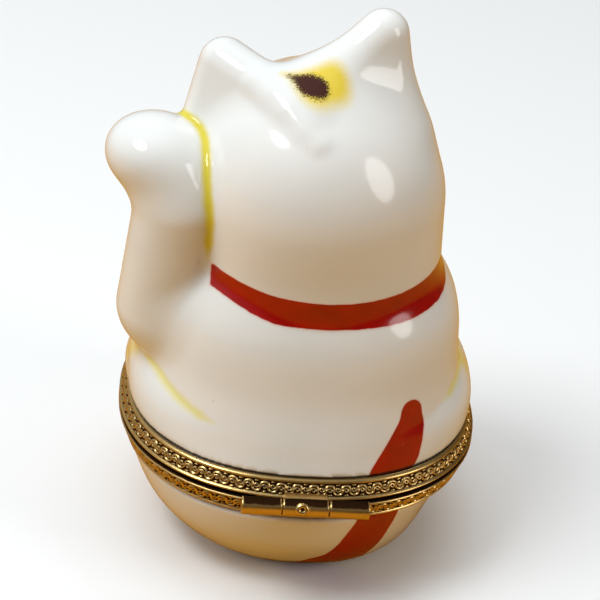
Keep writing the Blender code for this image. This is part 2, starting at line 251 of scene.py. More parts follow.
def head(p):
    q = in_head(p)
    muzzle = ellipsoid(q, (0.0, -13.4, -3.6), (5.4, 2.6, 3.6))
    nose = ellipsoid(q, (0.0, -15.7, -2.0), (1.5, 0.9, 0.9))
    skull = soft_min(head_ball(p), muzzle, 2.5)
    skull = soft_min(skull, nose, 0.6)
    skull = soft_min(skull, plate(q, *LEFT_EAR) - LEFT_EAR_RADIUS, 1.6)
    skull = soft_min(skull, chain(p, EAR_FOLD, EAR_FOLD_RADII), 1.4)
    return soft_min(skull, plate(q, *RIGHT_EAR) - RIGHT_EAR_RADIUS, 5.0)


def raised_arm(p):
    arm = strand(p, (17.6, 3.0, 31.0), (16.95, 4.6, 45.5), 6.2, 5.6)
    paw = ellipsoid(p, (19.6, 2.0, 50.6), (6.8, 6.55, 5.0), turned(0, -14, 0))
    return soft_min(arm, paw, 3.0)


def resting_arm(p):
    return strand(p, (-12.4, -8.0, 31.5), (-8.0, -16.0, 24.5), 5.0, 4.3)


def bell(p):
    return ellipsoid(p, (0.0, -16.2, 36.6), (2.7, 2.7, 2.7))


def eased(value, low, high):
    t = np.clip((value - low) / (high - low), 0.0, 1.0)
    return t * t * (3 - 2 * t)


def round_from_back(p):
    """Degrees round the upright axis, from the middle of the back to either side."""
    return np.degrees(np.arctan2(np.abs(p[..., 0]), p[..., 1]))


THIGH_SWELL = 1.15


def thigh_top(p):
    """How far round to the side a point lies, from 0 to 1, and the thigh's top edge there."""
    side = eased(round_from_back(p), 26.0, 78.0)
    return side, 22.7 + 2.5 * side


def thighs(p):
    """The back of each thigh: a low swelling of the body that ends in a crease on top."""
    side, top = thigh_top(p)
    low = LID_BAND_TOP_Z - 0.2
    middle, reach = (low + top) / 2, (top - low) / 2
    swelling = np.maximum(1 - ((p[..., 2] - middle) / reach) ** 2, 0.0)
    return body(p) - THIGH_SWELL * side * swelling


def shoulder(p):
    return ellipsoid(p, (13.2, 0.8, 31.0), (9.6, 10.0, 10.0))


def torso(p):
    trunk = soft_min(thighs(p), haunches(p), 1.0)
    return soft_min(trunk, shoulder(p), 2.0)


def hind_feet(p):
    return ellipsoid_pair(p, (8.6, -15.4, 4.0), (4.8, 6.2, 4.2))


def upper_cat(p):
    skin_field = soft_min(torso(p), head(p), 0.8)
    skin_field = soft_min(skin_field, resting_arm(p), 0.8)
    skin_field = soft_min(skin_field, bell(p), 0.4)
    return soft_min(skin_field, raised_arm(p), 1.4)


def lower_cat(p):
    trunk = soft_min(body(p), haunches(p), 1.0)
    return soft_min(trunk, hind_feet(p), 0.8)


def seat(p, edge_z, far_z):
    """Inside of the outline that the porcelain is cut back to behind its band."""
    towards = math.copysign(1.0, far_z - edge_z)
    height = (p[..., 2] - edge_z) * towards
    full = abs(far_z - edge_z)
    offset = -PIECE_GAP - BAND_LEAN * np.clip(height / full, 0.0, 1.0)
    offset = offset + 4.0 * np.maximum(height - full - PIECE_GAP, 0.0)
    across = np.abs(p[..., 0]) / (FIT_HALF[0] + offset)
    along = np.abs(p[..., 1]) / (FIT_HALF[1] + offset)
    reach = (across**BAND_POWER + along**BAND_POWER) ** (1 / BAND_POWER)
    return (reach - 1) * (FIT_HALF[1] + offset)


def lid_hollow(p):
    return soft_min(body(p, 38.0) + WALL, head_ball(p) + WALL, 3.0)


LID_CUT_Z = LID_RIM_HIGH[2] + PIECE_GAP
BASE_CUT_Z = BASE_RIM_LOW[2] - PIECE_GAP


def lid_porcelain(p):
    outside = np.maximum(upper_cat(p), seat(p, LID_EDGE_Z, LID_BAND_TOP_Z))
    shell = np.maximum(outside, -lid_hollow(p))
    return np.maximum(shell, LID_CUT_Z - p[..., 2])


def base_hollow(p):
    return soft_max(body(p) + WALL, FLOOR - p[..., 2], 5.0)


def base_porcelain(p):
    outside = soft_max(lower_cat(p), -p[..., 2], 1.2)
    recess = ellipsoid(p, (0.0, 0.2, -0.6), (9.6, 10.4, 1.5))
    outside = soft_max(outside, -recess, 0.5)
    outside = np.maximum(outside, seat(p, BASE_EDGE_Z, BASE_BAND_BOTTOM_Z))
    shell = np.maximum(outside, -base_hollow(p))
    return np.maximum(shell, p[..., 2] - BASE_CUT_Z)


# Paint: distance fields again, below zero where the colour lies

COLLAR_Z = 38.9
COLLAR_DROP = 0.065
COLLAR_HALF = 1.7
COLLAR_TAPER_X, COLLAR_END_X = 4.0, 12.9


def collar_paint(p):
    """A stripe round the neck that rises and narrows to the raised arm."""
    towards_end = eased(p[..., 0], COLLAR_TAPER_X, COLLAR_END_X)
    middle = COLLAR_Z - COLLAR_DROP * p[..., 1] + 0.85 * towards_end
    stripe = np.abs(p[..., 2] - middle) - COLLAR_HALF + 0.5 * towards_end
    past_end = p[..., 0] - COLLAR_END_X
    under_arm = 0.4 - raised_arm(p)
    return np.maximum(stripe, np.where(p[..., 1] > 0, past_end, under_arm))


TAIL_POINTS = (
    (-12.4, 15.7, 24.9), (-12.5, 16.2, 23.3), (-12.1, 16.9, 21.9), (-11.6, 17.6, 20.5),
    (-10.9, 18.5, 19.1), (-10.1, 19.2, 17.7), (-9.8, 19.4, 14.5), (-9.4, 19.1, 11.1),
    (-8.5, 18.5, 8.7), (-7.5, 17.6, 6.1), (-6.2, 16.6, 3.8), (-4.0, 16.2, 2.2), (-1.0, 15.2, 0.8),
)
TAIL_RADII = (1.65, 2.05, 2.35, 2.6, 2.65, 2.7, 2.8, 2.9, 3.15, 3.3, 3.3, 3.0, 2.0)


def tail_paint(p):
    return chain(p, TAIL_POINTS, TAIL_RADII)


def on_crown(p, wide, tip, blend):
    """A blot on top of the head, from two strands in the head's own plan."""
    q = in_head(p)
    flat = q[..., :2]
    off_top = np.maximum(4.0 - q[..., 2], 0.0)
    return soft_min(strand(flat, *wide), strand(flat, *tip), blend) + off_top


def crown_patch(p):
    wide = ((-2.3, 6.2), (-1.3, 5.9), 1.30, 1.20)
    tip = ((-1.3, 5.9), (1.0, 4.5), 1.15, 0.15)
    return on_crown(p, wide, tip, 0.8)


def crown_halo(p):
    wide = ((-3.9, 5.2), (-2.2, 6.0), 2.6, 2.6)
    tip = ((-2.2, 6.0), (1.7, 4.0), 2.2, 0.5)
    return on_crown(p, wide, tip, 1.5)


def arm_line(p):
    """Where the raised arm meets the head and neck, fading below the cheek."""
    gap = np.abs(raised_arm(p) - head(p))
    return gap + 0.35 * np.maximum(43.0 - p[..., 2], 0.0)


def haunch_line(p):
    """Along the top edge of each thigh, fading at both ends."""
    middle = np.where(p[..., 0] > 0, 55.0, 78.0)
    fade = np.maximum(np.abs(round_from_back(p) - middle) - 16.0, 0.0)
    return np.abs(p[..., 2] - thigh_top(p)[1]) + fade * 0.09


def haunch_tint(p):
    """A breath of yellow on the outside of each thigh."""
    mirrored = np.concatenate([np.abs(p[..., :1]), p[..., 1:]], -1)
    return strand(mirrored, (20.4, 2.5, 24.6), (22.4, -4.0, 19.0), 1.0, 0.8)


def mount_edge(p):
    """The fine dark line where the glaze meets each band."""
    from_lid_band = np.abs(p[..., 2] - LID_BAND_TOP_Z)
    from_base_band = np.abs(p[..., 2] - BASE_BAND_BOTTOM_Z)
    return np.minimum(from_lid_band, from_base_band) - 0.3


def ear_pink(p):
    q = in_head(p)
    out = np.full(p.shape[:-1], FAR)
    for tip, outer, inner in (LEFT_EAR, RIGHT_EAR):
        middle = (np.array(tip) * 2 + np.array(outer) + np.array(inner) * 0.6) / 3.6
        foot = (np.array(outer) + np.array(inner)) / 2
        middle[1] = foot[1] = -4.6
        out = np.minimum(out, strand(q, middle, foot, 1.1, 2.4))
    return np.where(q[..., 1] < -2.0, out, FAR)


EYE_X = 5.6
EYE_Z = 1.6


def eye_ovals(p, apart, half_width, half_height, slant, steepness):
    """An oval at each eye."""
    q = in_head(p)
    out = np.full(p.shape[:-1], FAR)
    for side in (1, -1):
        offset = q[..., 0] - side * apart
        up = (q[..., 2] - EYE_Z - slant * side * offset) / half_height
        out = np.minimum(out, (np.hypot(offset / half_width, up) - 1) * steepness)
    return np.where(q[..., 1] < 0.0, out, FAR)


def eye_iris(p):
    return eye_ovals(p, EYE_X, 2.5, 1.75, 0.12, 1.9)


def eye_pupil(p):
    return eye_ovals(p, EYE_X - 0.1, 0.75, 1.35, 0.0, 0.9)


def nose_paint(p):
    return ellipsoid(in_head(p), (0.0, -16.2, -1.9), (1.35, 1.4, 0.85))


# Meshing

def slopes(volume, p, step=0.05):
    out = np.empty_like(p)
    for axis in range(3):
        shift = np.zeros(3)
        shift[axis] = step
        out[:, axis] = (volume(p + shift) - volume(p - shift)) / (2 * step)
    return out


def onto(volume, p, rounds=2):
    """Points moved onto the zero level along the slope."""
    for _ in range(rounds):
        slope = slopes(volume, p)
        steep = np.maximum((slope * slope).sum(1), 0.05)
        p = p - (volume(p) / steep)[:, None] * slope
    return p


COARSE = 4


def sampled(volume, low, shape, cell):
    """The volume on a grid. Far from the skin a coarse sample stands in for the real one."""
    axes = []
    for start, count in zip(low, shape):
        coarse_steps = COARSE * np.arange(math.ceil(count / COARSE)) + (COARSE - 1) / 2
        axes.append(start + cell * coarse_steps)
    coarse = volume(np.stack(np.meshgrid(*axes, indexing="ij"), -1))
    values = coarse[np.ix_(*[np.arange(count) // COARSE for count in shape])]
    near = np.argwhere(np.abs(values) < cell * COARSE * 1.6)
    values[tuple(near.T)] = volume(np.array(low) + near * cell)
    return values


CUBE_CORNERS = [np.array((x, y, z)) for x in (0, 1) for y in (0, 1) for z in (0, 1)]
CUBE_EDGES = [
    (a, b)
    for index, a in enumerate(CUBE_CORNERS)
    for b in CUBE_CORNERS[index + 1:]
    if np.abs(a - b).sum() == 1
]


def skin(volume, low, high, cell):
    """Points and quads over a volume's zero level, one point in each cell that it crosses."""
    shape = [int(math.ceil((h - l) / cell)) + 1 for l, h in zip(low, high)]
    values = sampled(volume, low, shape, cell)
    solid = values < 0
    crossed = np.zeros([n - 1 for n in shape], bool)
    first = solid[:-1, :-1, :-1]
    for x, y, z in CUBE_CORNERS:
        crossed |= solid[x:shape[0] - 1 + x, y:shape[1] - 1 + y, z:shape[2] - 1 + z] != first
    cells = np.argwhere(crossed)
    number = np.full(crossed.shape, -1)
    number[crossed] = np.arange(len(cells))

    total = np.zeros((len(cells), 3))
    count = np.zeros(len(cells))
    for a, b in CUBE_EDGES:
        at_a, at_b = values[tuple((cells + a).T)], values[tuple((cells + b).T)]
        cut = (at_a < 0) != (at_b < 0)
        t = np.where(cut, at_a / np.where(cut, at_a - at_b, 1.0), 0.0)
        total[cut] += (cells + a + t[:, None] * (b - a))[cut]
        count[cut] += 1
    points = total / count[:, None] * cell + np.array(low)

    quads = []
    for axis in range(3):
        ahead = [np.eye(3, dtype=int)[(axis + turn) % 3] for turn in (1, 2)]
        near = np.take(solid, range(shape[axis] - 1), axis=axis)
        far = np.take(solid, range(1, shape[axis]), axis=axis)
        edges = np.argwhere(near != far)
        for step in ahead:
            across = edges @ step
            edges = edges[(across > 0) & (across < np.array(shape) @ step - 1)]
        corners = [-ahead[0] - ahead[1], -ahead[1], np.zeros(3, int), -ahead[0]]
        faces = np.stack([number[tuple((edges + corner).T)] for corner in corners], 1)
        backwards = ~near[tuple(edges.T)]
        faces[backwards] = faces[backwards][:, ::-1]
        quads.append(faces)
    return points, np.concatenate(quads)


def placed(name, mesh, rides_on):
    """A finished mesh as a piece on its body."""
    piece = bpy.data.objects.new(name, mesh)
    bpy.context.scene.collection.objects.link(piece)
    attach(piece, rides_on)
    return piece


def new_piece(name, points, faces, material, rides_on):
    """A smooth-shaded piece from points in mm and rows of point numbers."""
    mesh = bpy.data.meshes.new(name)
    rows = faces if isinstance(faces, list) else faces.tolist()
    mesh.from_pydata((np.asarray(points) * MM).tolist(), [], rows)
    mesh.materials.append(material)
    mesh.update()
    mesh.shade_smooth()
    return placed(name, mesh, rides_on)


def add_field(piece, name, values):
    field = piece.data.attributes.new(name, "FLOAT", "POINT")
    field.data.foreach_set("value", np.ascontiguousarray(values, np.float32))


PAINTS = {
    "collar": collar_paint,
    "tail": tail_paint,
    "crown_patch": crown_patch,
    "crown_halo": crown_halo,
    "arm_line": arm_line,
    "haunch_line": haunch_line,
    "haunch_tint": haunch_tint,
    "mount_edge": mount_edge,
    "ear_pink": ear_pink,
    "eye_iris": eye_iris,
    "eye_pupil": eye_pupil,
    "nose": nose_paint,
    "bell": bell,
}
BASE_PAINTS = ("tail", "mount_edge")
BAND_MARGIN = 0.6
OUTER_SKIN_DEPTH = 1.0


def porcelain(name, node, volume, outside, rides_on, paints):
    """A skin over its CAD node's space, with the paints' fields on its outer side."""
    low, high = box_mm(node)
    margin = 1.5
    points, quads = skin(volume, low - margin, high + margin, SKIN_CELL)
    below_bands = points[:, 2] < BASE_BAND_BOTTOM_Z - BAND_MARGIN
    free = below_bands | (points[:, 2] > LID_BAND_TOP_Z + BAND_MARGIN)
    points[free] = onto(volume, points[free])
    piece = new_piece(name, points, quads, GLAZE, rides_on)
    outer = outside(points) > -OUTER_SKIN_DEPTH
    for paint, field in PAINTS.items():
        shown = outer if paint in paints else np.zeros_like(outer)
        add_field(piece, paint, np.where(shown, field(points), FAR))
    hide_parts(node)
    return piece


# Brass bands

def seam_outline(count):
    """Points round the mounts' fitting outline, evenly spaced, with their outward directions."""
    angle = np.linspace(0, 2 * math.pi, 4 * count, endpoint=False)
    reach = (np.abs(np.cos(angle)) ** BAND_POWER + np.abs(np.sin(angle)) ** BAND_POWER)
    reach = reach ** (-1 / BAND_POWER)
    fine = np.stack([FIT_HALF[0] * reach * np.cos(angle), FIT_HALF[1] * reach * np.sin(angle)], 1)
    steps = np.linalg.norm(np.roll(fine, -1, 0) - fine, axis=1)
    travelled = np.concatenate([[0.0], np.cumsum(steps)])
    closed = np.concatenate([fine, fine[:1]])
    wanted = np.linspace(0, travelled[-1], count, endpoint=False)
    points = np.stack([np.interp(wanted, travelled, closed[:, axis]) for axis in (0, 1)], 1)
    ahead = np.roll(points, -1, 0) - np.roll(points, 1, 0)
    outward = np.stack([ahead[:, 1], -ahead[:, 0]], 1)
    outward /= np.linalg.norm(outward, axis=1)[:, None]
    return points, outward, wanted, travelled[-1]


def porcelain_offset(volume, points, outward, z):
    """How far outside the fitting outline the porcelain's skin lies at height z."""
    inner = np.full(len(points), -2.5)
    outer = np.full(len(points), 0.5)
    height = np.full((len(points), 1), z)
    for _ in range(24):
        middle = (inner + outer) / 2
        p = np.concatenate([points + outward * middle[:, None], height], 1)
        is_inside = volume(p) < 0
        inner = np.where(is_inside, middle, inner)
        outer = np.where(is_inside, outer, middle)
    return (inner + outer) / 2


def ridge(distance, half_width, height):
    """A rounded ridge's height at a distance from its middle line."""
    t = np.clip(1 - (distance / half_width) ** 2, 0.0, 1.0)
    return height * t**0.7


def stroke(points, half_width, height, wrap):
    """A stamped stroke as rows of (x, y, half width, height), repeated at both sides."""
    points = np.array(points, float)
    steps = max(2, len(points) * 3)
    wanted = np.linspace(0, len(points) - 1, steps)
    line = np.stack([np.interp(wanted, range(len(points)), points[:, axis]) for axis in (0, 1)], 1)
    widths = np.interp(wanted, [0, len(points) - 1], half_width)
    rows = np.column_stack([line, widths, np.full(steps, height)])
    return np.concatenate([rows + (shift, 0, 0, 0) for shift in (-wrap, 0.0, wrap)])


def vine_strokes():
    """One period of the vine, 2 long, with its field running from -1 to 1 across."""
    u = np.linspace(0.0, 1.0, 49)
    swing = np.sin(2 * math.pi * u)
    stem = np.stack([2 * u - 0.19 * np.sin(4 * math.pi * u), 0.70 * swing], 1)
    strokes = [stroke(stem, (0.15, 0.15), 0.28, 2.0)]
    for crest, sign in ((0.5, 1.0), (1.5, -1.0)):
        turn = np.radians(np.linspace(170, -190, 19))
        radius = np.linspace(0.34, 0.10, 19)
        curl_x = crest + sign * radius * np.cos(turn)
        curl_y = sign * (-0.10 + 1.25 * radius * np.sin(turn))
        strokes.append(stroke(np.stack([curl_x, curl_y], 1), (0.12, 0.09), 0.22, 2.0))
        leaf = [(crest - 0.30 * sign, -0.84 * sign), (crest + 0.16 * sign, -0.78 * sign)]
        strokes.append(stroke(leaf, (0.07, 0.14), 0.20, 2.0))
    return np.concatenate(strokes)


VINE_TILE = (120, 72)


def vine_tile():
    """The vine's height over one period, sampled once and then looked up."""
    x = np.linspace(0.0, 2.0, VINE_TILE[0], endpoint=False)
    y = np.linspace(-1.0, 1.0, VINE_TILE[1])
    height = np.zeros(VINE_TILE)
    for centre_x, centre_y, width, peak in vine_strokes():
        distance = np.hypot(x[:, None] - centre_x, y[None, :] - centre_y)
        height = np.maximum(height, ridge(distance, width, peak))
    return height


def vine(along, across, wave_length, half_field, tile):
    """Relief at each place along the band and each height across its field."""
    x = (along / wave_length) % 1.0 * VINE_TILE[0]
    y = (np.clip(across / half_field, -1, 1) + 1) / 2 * (VINE_TILE[1] - 1)
    repeated = np.concatenate([tile, tile[:1]])
    lengthwise = np.stack([np.interp(x, range(len(repeated)), row) for row in repeated.T], 1)
    return np.stack([np.interp(y, range(VINE_TILE[1]), column) for column in lengthwise])


BAND_COUNT = 1560
FACE_ROWS = 34
WAVES = 71
FIELD_DEPTH = 0.28
SEAM_BEAD, SEAM_BEAD_HEIGHT = 0.20, 0.28
FAR_BEAD, FAR_BEAD_HEIGHT = 0.26, 0.30
SEAM_ROUNDING, ROUNDING_DEPTH = 0.18, 0.55
# Rows of each band at the seam, painted dark as the shadow in the gap between the bands
SEAM_SHADOW_ROWS = 3


def band_relief(up, height, along, length):
    """The face's relief: a bead at each edge and the vine between them."""
    field_low, field_high = SEAM_ROUNDING + 2 * SEAM_BEAD, height - 2 * FAR_BEAD
    middle, half_field = (field_low + field_high) / 2, (field_high - field_low) / 2
    relief = vine(along, up - middle, length / WAVES, half_field, vine_tile())
    in_field = (up > field_low) & (up < field_high)
    low_bead = ridge(up - SEAM_ROUNDING - SEAM_BEAD, SEAM_BEAD, SEAM_BEAD_HEIGHT)
    high_bead = ridge(up - (height - FAR_BEAD), FAR_BEAD, FAR_BEAD_HEIGHT)
    return np.maximum(np.where(in_field, relief, 0.0), np.maximum(low_bead, high_bead))


def band_back(face_end, hug, height):
    """Offsets and rises over the lip that hugs the porcelain, then down the plain back."""
    level = np.ones(BAND_COUNT)
    leaned = np.maximum(hug, -BAND_LEAN)
    rows = [
        ((face_end - 0.06) * level, height + 0.02),
        (hug + 0.12, height - 0.01),
        (hug, height - 0.12),
        (hug, height - 0.35),
        (leaned, height - 0.5),
        (0.5 * leaned, 0.5 * height),
        (0.00 * level, 0.12),
        (0.12 * level, 0.0),
        (0.10 * level, 0.0),
    ]
    offsets = np.stack([offset for offset, _ in rows], 1)
    rises = np.stack([rise * level for _, rise in rows], 1)
    return offsets, rises


def band(name, node, volume, edge_z, far_z, rides_on):
    """A strip swept round the seam: a stamped face, and a lip on the porcelain."""
    points, outward, along, length = seam_outline(BAND_COUNT)
    height = abs(far_z - edge_z)
    towards = math.copysign(1.0, far_z - edge_z)
    t = np.linspace(0.0, 1.0, FACE_ROWS)
    up = t * height
    face = BAND_FLARE + (BAND_THICKNESS - BAND_LEAN - BAND_FLARE) * t - FIELD_DEPTH
    face -= ROUNDING_DEPTH * np.clip(1 - up / SEAM_ROUNDING, 0.0, 1.0) ** 2
    relief = band_relief(up, height, along, length)

    hug = porcelain_offset(volume, points, outward, far_z - 0.2 * towards) + 0.05
    hug = np.clip(hug, -1.6, face[-1] - 0.05)
    back_offsets, back_rises = band_back(face[-1], hug, height)
    offsets = np.concatenate([face + relief, back_offsets], 1)
    rises = np.concatenate([np.broadcast_to(up, relief.shape), back_rises], 1)
    rows = offsets.shape[1]
    grid = np.empty((BAND_COUNT, rows, 3))
    grid[..., :2] = points[:, None, :] + outward[:, None, :] * offsets[..., None]
    grid[..., 2] = edge_z + towards * rises
    faces = closed_grid(BAND_COUNT, rows)
    if towards < 0:
        faces = faces[:, ::-1]
    piece = new_piece(name, grid.reshape(-1, 3), faces, BRASS, rides_on)

    bright = np.full((BAND_COUNT, rows), 0.5)
    # Painted shadow: the face darkens towards the seam, and the rows at the seam are dark, for the
    # shade in the gap between the bands.
    past_seam_shadow = np.clip(up / SEAM_ROUNDING - 0.4, 0.0, 1.0)
    bright[:, :FACE_ROWS] = np.clip(relief / 0.25, 0.0, 1.0) * past_seam_shadow
    bright[:, -SEAM_SHADOW_ROWS:] = 0.0
    add_field(piece, "relief", bright.ravel())
    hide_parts(node)
    return piece


def closed_grid(columns, rows):
    """Quads over a grid that closes on itself both ways."""
    number = np.arange(columns * rows).reshape(columns, rows)
    right = np.roll(number, -1, 0)
    corners = [number, right, np.roll(right, -1, 1), np.roll(number, -1, 1)]
    return np.stack(corners, -1).reshape(-1, 4)


RING_COUNT = 360
RING_WIDTH = 2.5
RING_EDGE = 0.08
RING_GROOVE = ((0.75, 0.0), (0.65, 0.07), (0.55, 0.07), (0.45, 0.0))


def flat_ring(name, node, low_z, high_z, rides_on):
    """A flat ring with softened edges and a fine groove near its inner edge."""
    points, outward, _, _ = seam_outline(RING_COUNT)
    outer = -2 * PIECE_GAP
    inner = outer - RING_WIDTH
    faces_up = node == "base_rim"
    seam_z, back_z = (high_z, low_z) if faces_up else (low_z, high_z)
    into = -1.0 if faces_up else 1.0
    section = [(outer - RING_EDGE, seam_z)]
    section += [(inner + offset, seam_z + into * depth) for offset, depth in RING_GROOVE]
    section += [
        (inner + RING_EDGE, seam_z),
        (inner, seam_z + into * RING_EDGE),
        (inner, back_z - into * RING_EDGE),
        (inner + RING_EDGE, back_z),
        (outer - RING_EDGE, back_z),
        (outer, back_z - into * RING_EDGE),
        (outer, seam_z + into * RING_EDGE),
    ]
    grid = np.empty((RING_COUNT, len(section), 3))
    for row, (offset, z) in enumerate(section):
        grid[:, row, :2] = points + outward * offset
        grid[:, row, 2] = z
    faces = closed_grid(RING_COUNT, len(section))
    if faces_up:
        faces = faces[:, ::-1]
    piece = new_piece(name, grid.reshape(-1, 3), faces, BRASS, rides_on)
    add_field(piece, "relief", np.full(RING_COUNT * len(section), 0.8))
    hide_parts(node)
    piece.data.set_sharp_from_angle(angle=math.radians(40))
    return piece


# Hinge and clasp

def lathe(bm, profile, place, sides=48, wobble=None):
    """Turn a closed (along, radius) profile about the local X axis."""
    rings = []
    for along, radius in profile:
        ring = []
        for side in range(sides):
            angle = 2 * math.pi * side / sides
            reach = radius if wobble is None else radius * wobble(angle, along)
            local = Vector((along, reach * math.cos(angle), reach * math.sin(angle)))
            ring.append(bm.verts.new(place @ local))
        rings.append(ring)
    for ring, following in zip(rings, rings[1:] + rings[:1]):
        for side in range(sides):
            ahead = (side + 1) % sides
            bm.faces.new((ring[side], ring[ahead], following[ahead], following[side]))


def extrude(bm, outline, low_x, high_x):
    first = [bm.verts.new((low_x, y, z)) for y, z in outline]
    second = [bm.verts.new((high_x, y, z)) for y, z in outline]
    bm.faces.new(first)
    bm.faces.new(second)
    for step in range(len(outline)):
        ahead = (step + 1) % len(outline)
        bm.faces.new((first[step], first[ahead], second[ahead], second[step]))


def two_ended(low, high, end):
    """A turned profile from one end's rows of (inset, radius), the same at both ends."""
    near = [(low + inset, radius) for inset, radius in end]
    return near + [(high - inset, radius) for inset, radius in reversed(end)]


def brass_piece(name, bm, rides_on, relief, sharp=35):
    """A brass piece from a bmesh in mm, at an even relief value."""
    bmesh.ops.recalc_face_normals(bm, faces=bm.faces)
    bmesh.ops.scale(bm, vec=(MM, MM, MM), verts=bm.verts)
    mesh = bpy.data.meshes.new(name)
    bm.to_mesh(mesh)
    bm.free()
    mesh.materials.append(BRASS)
    mesh.shade_smooth()
    mesh.set_sharp_from_angle(angle=math.radians(sharp))
    piece = placed(name, mesh, rides_on)
    add_field(piece, "relief", np.full(len(mesh.vertices), relief))
    return piece


def fuse(piece, other):
    """Join another piece's volume into this one."""
    join = piece.modifiers.new("fuse", "BOOLEAN")
    join.operation = "UNION"
    join.solver = "EXACT"
    join.object = other
    depsgraph = bpy.context.evaluated_depsgraph_get()
    fused = bpy.data.meshes.new_from_object(piece.evaluated_get(depsgraph))
    piece.modifiers.clear()
    piece.data = fused
    bpy.data.objects.remove(other)
    fused.set_sharp_from_angle(angle=math.radians(35))


BARREL_RADIUS = OUTER_KNUCKLE_HIGH[1] - HINGE_Y
BORE_RADIUS = 0.56
TUBE_EDGE = 0.12
WORN_END = 0.2
HINGE_PLACE = Matrix.Translation((0.0, HINGE_Y, HINGE_Z))


def wear_and_shade_barrel(piece, low_x, high_x):
    """Painted shade on the tube's upper side, by the bands, and bright worn ends."""
    mesh = piece.data
    spots = np.empty(len(mesh.vertices) * 3, np.float32)
    mesh.vertices.foreach_get("co", spots)
    spots = spots.reshape(-1, 3) / MM
    rise = (spots[:, 2] - HINGE_Z) / BARREL_RADIUS
    # Painted shade: the tube's upper side is darkened towards the bands, where shadow falls.
    relief = 0.55 - 0.50 * eased(rise, 0.45, 0.85)
    end = np.minimum(spots[:, 0] - low_x, high_x - spots[:, 0])
    relief = np.where(end < WORN_END, 0.98, relief)
    mesh.attributes["relief"].data.foreach_set("value", relief.astype(np.float32))


def knuckle(name, node, low_x, high_x, web, rides_on):
    """A tube with softened, brightly worn ends, joined to its band by a bent web."""
    end = [
        (0.0, BORE_RADIUS),
        (0.0, BARREL_RADIUS - TUBE_EDGE),
        (0.3 * TUBE_EDGE, BARREL_RADIUS - 0.3 * TUBE_EDGE),
        (TUBE_EDGE, BARREL_RADIUS),
        (1.8 * TUBE_EDGE, BARREL_RADIUS),
    ]
    tube = bmesh.new()
    lathe(tube, two_ended(low_x, high_x, end), HINGE_PLACE)
    piece = brass_piece(name, tube, rides_on, 0.72)
    leaf = bmesh.new()
    outline = [(HINGE_Y + y, HINGE_Z + z) for y, z in web]
    extrude(leaf, outline, low_x + 0.15, high_x - 0.15)
    fuse(piece, brass_piece(name + "_leaf", leaf, rides_on, 0.5))
    wear_and_shade_barrel(piece, low_x, high_x)
    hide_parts(node)
    return piece


def pin():
    """The pin's domed ends just show in the outer tubes."""
    radius = (PIN_HIGH[2] - PIN_LOW[2]) / 2
    dome = [(0.0, 0.02), (0.02, 0.2), (0.07, 0.36), (0.18, radius)]
    rod = bmesh.new()
    lathe(rod, two_ended(PIN_LOW[0], PIN_HIGH[0], dome), HINGE_PLACE, sides=32)
    piece = brass_piece("hinge_pin_turned", rod, "base", 0.9)
    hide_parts("hinge_pin")


SOLDER_X = 0.45
SOLDER_TILT = 24
SOLDER_SINK = 0.14
SOLDER_PROFILE = (
    (0.00, 0.01), (0.00, 0.82), (0.10, 0.86), (0.24, 0.78), (0.38, 0.62),
    (0.42, 0.46), (0.34, 0.30), (0.24, 0.16), (0.21, 0.01),
)


def uneven_round(angle, along):
    return 1 + 0.10 * math.sin(2 * angle + 0.6) + 0.06 * math.sin(3 * angle + 9 * along)


def solder_drop():
    """A dimpled drop of solder on the middle tube, facing back and a little up."""
    outward = direction(180.0, SOLDER_TILT)
    foot = Vector((SOLDER_X, HINGE_Y, HINGE_Z)) + outward * (BARREL_RADIUS - SOLDER_SINK)
    turn = Vector((1.0, 0.0, 0.0)).rotation_difference(outward).to_matrix().to_4x4()
    place = Matrix.Translation(foot) @ turn
    drop = bmesh.new()
    lathe(drop, SOLDER_PROFILE, place, sides=40, wobble=uneven_round)
    piece = brass_piece("lid_hinge_solder", drop, "lid", 0.9, sharp=80)
    for vertex, value in zip(piece.data.vertices, piece.data.attributes["relief"].data):
        reach = (vertex.co / MM - foot).cross(outward).length
        value.value = 0.05 + 0.9 * float(eased(reach, 0.16, 0.44))


def hinge():
    reach = HINGE_Y - LID_BAND_HIGH[1] + 0.25
    lid_web = [(-0.2, 0.25), (-0.1, 1.02), (-0.5, 1.10), (-reach, 1.12), (-reach, 0.22)]
    base_web = [(-0.2, -0.5), (-reach, -0.5), (-reach, -1.12), (-0.5, -1.10), (-0.1, -1.02)]
    middle = (KNUCKLE_LOW[0], KNUCKLE_HIGH[0])
    knuckle("lid_hinge_tube", "lid_hinge_knuckle", *middle, lid_web, "lid")
    for side, word in ((1, "left"), (-1, "right")):
        ends = sorted((side * OUTER_KNUCKLE_LOW[0], side * OUTER_KNUCKLE_HIGH[0]))
        name = f"base_hinge_tube_{word}"
        knuckle(name, f"base_hinge_knuckle_{word}", *ends, base_web, "base")
    pin()
    solder_drop()


# The shell's half width from its top, 0, to its foot, 1
SHELL_WIDTHS = (
    (0.0, 1.0), (0.15, 1.25), (0.4, 1.5), (0.65, 2.3), (0.85, 2.45), (0.95, 1.9), (1.0, 0.9),
)
SHELL_COLUMNS, SHELL_ROWS = 41, 44
SHELL_THICKNESS = 0.42
SHELL_CROWN = 0.22
FLUTE_DEPTH = 0.10


